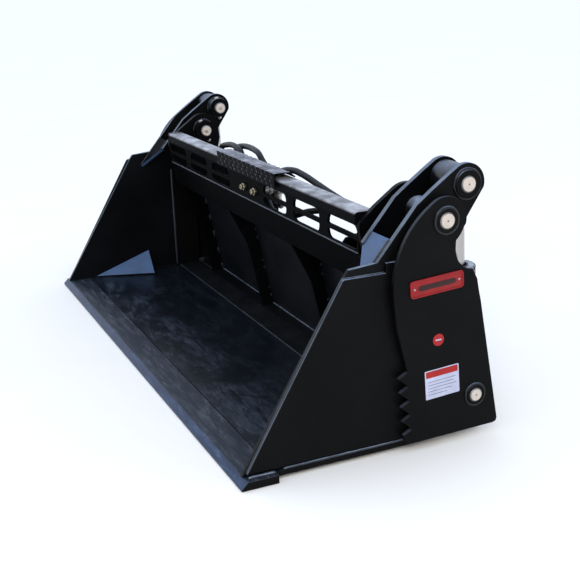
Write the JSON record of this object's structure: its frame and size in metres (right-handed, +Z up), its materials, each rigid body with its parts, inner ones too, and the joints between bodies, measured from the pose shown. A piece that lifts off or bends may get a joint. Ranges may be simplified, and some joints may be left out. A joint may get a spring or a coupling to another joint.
{
  "type": "skid steer bucket",
  "caption": "Wide combination bucket: a rear frame, a clam that hinges open on two pins, hydraulic cylinders at the sides, toothed side plates and a quick-attach back.",
  "frame": {"origin": "under the middle of the bucket's overall width and depth, on the ground", "axes": "+X along the cutting edge towards the bucket's right as seen from in front of the lip, +Y from the lip back to the quick-attach, +Z up"},
  "size_m": [1.856, 0.6878, 0.685],
  "materials": {
    "black_paint": "semi-gloss black paint",
    "worn_edge": "black paint worn to dark steel on the ground-engaging edges",
    "pin_steel": "zinc-plated pin steel, satin",
    "chrome": "hard-chrome plated and polished",
    "brass": "yellow-passivated coupling, satin",
    "rubber": "black hose cover, matt",
    "red_badge": "red enamel plate, no lettering",
    "bushing_bronze": "bronze bushing, satin"
  },
  "bodies": {
    "frame": {"mouldboard": "black_paint", "top_band": "black_paint", "guard_panel": "black_paint", "top_rail": "black_paint", "rail_cover": "black_paint", "back_rib_left": "black_paint", "back_rib_right": "black_paint", "inner_ear_left": "black_paint", "inner_ear_right": "black_paint", "frame_side_left": "black_paint", "frame_side_right": "black_paint", "quick_attach_left": "black_paint", "quick_attach_right": "black_paint", "bay_front_plate_left": "black_paint", "bay_front_plate_right": "black_paint", "heel_plate": "black_paint", "frame_cutting_strip": "worn_edge", "pivot_pin_left": "pin_steel", "pivot_pin_right": "pin_steel", "base_pin_left": "pin_steel", "base_pin_right": "pin_steel", "bulkhead_fitting_left": "brass", "bulkhead_fitting_right": "brass", "hose_left_upper": "rubber", "hose_left_lower": "rubber", "hose_right_upper": "rubber", "hose_right_lower": "rubber", "side_badge_left": "red_badge", "side_badge_right": "red_badge", "pivot_spacer_left": "bushing_bronze", "pivot_spacer_right": "bushing_bronze"},
    "clam": {"clam_cutting_edge": "worn_edge", "clam_floor": "black_paint", "clam_closing_strip": "worn_edge", "clam_side_left": "black_paint", "clam_side_right": "black_paint", "side_wear_plate_left": "black_paint", "side_wear_plate_right": "black_paint", "outer_arm_left": "black_paint", "outer_arm_right": "black_paint", "inner_arm_left": "black_paint", "inner_arm_right": "black_paint", "arm_closing_plate_left": "black_paint", "arm_closing_plate_right": "black_paint", "corner_gusset_left": "black_paint", "corner_gusset_right": "black_paint", "pivot_bushing_left": "black_paint", "pivot_bushing_right": "black_paint", "rod_pin_left": "pin_steel", "rod_pin_right": "pin_steel"},
    "barrel_left": {"cylinder_barrel_left": "black_paint", "cylinder_gland_left": "black_paint", "transfer_tube_left": "pin_steel"},
    "barrel_right": {"cylinder_barrel_right": "black_paint", "cylinder_gland_right": "black_paint", "transfer_tube_right": "pin_steel"},
    "rod_left": {"cylinder_rod_left": "chrome", "piston_left": "pin_steel"},
    "rod_right": {"cylinder_rod_right": "chrome", "piston_right": "pin_steel"}
  },
  "joints": [
    {"name": "clam_hinge", "type": "hinge", "parent": "frame", "child": "clam", "pos_m": [0, 0.1871, 0.564], "axis": [-1, 0, 0], "range_deg": [0, 45]},
    {"name": "barrel_pivot_left", "type": "hinge", "parent": "frame", "child": "barrel_left", "pos_m": [-0.8325, 0.2751, 0.115], "axis": [-1, 0, 0], "range_deg": [0, 4.2]},
    {"name": "rod_pivot_left", "type": "hinge", "parent": "clam", "child": "rod_left", "pos_m": [-0.8325, 0.2611, 0.636], "axis": [1, 0, 0], "range_deg": [0, 41.5]},
    {"name": "barrel_pivot_right", "type": "hinge", "parent": "frame", "child": "barrel_right", "pos_m": [0.8325, 0.2751, 0.115], "axis": [-1, 0, 0], "range_deg": [0, 4.2]},
    {"name": "rod_pivot_right", "type": "hinge", "parent": "clam", "child": "rod_right", "pos_m": [0.8325, 0.2611, 0.636], "axis": [1, 0, 0], "range_deg": [0, 41.5]}
  ],
  "couplings": [
    {"joint": "barrel_pivot_left", "follows": "clam_hinge", "ratio": 0.088},
    {"joint": "rod_pivot_left", "follows": "clam_hinge", "ratio": 0.912},
    {"joint": "barrel_pivot_right", "follows": "clam_hinge", "ratio": 0.088},
    {"joint": "rod_pivot_right", "follows": "clam_hinge", "ratio": 0.912}
  ]
}
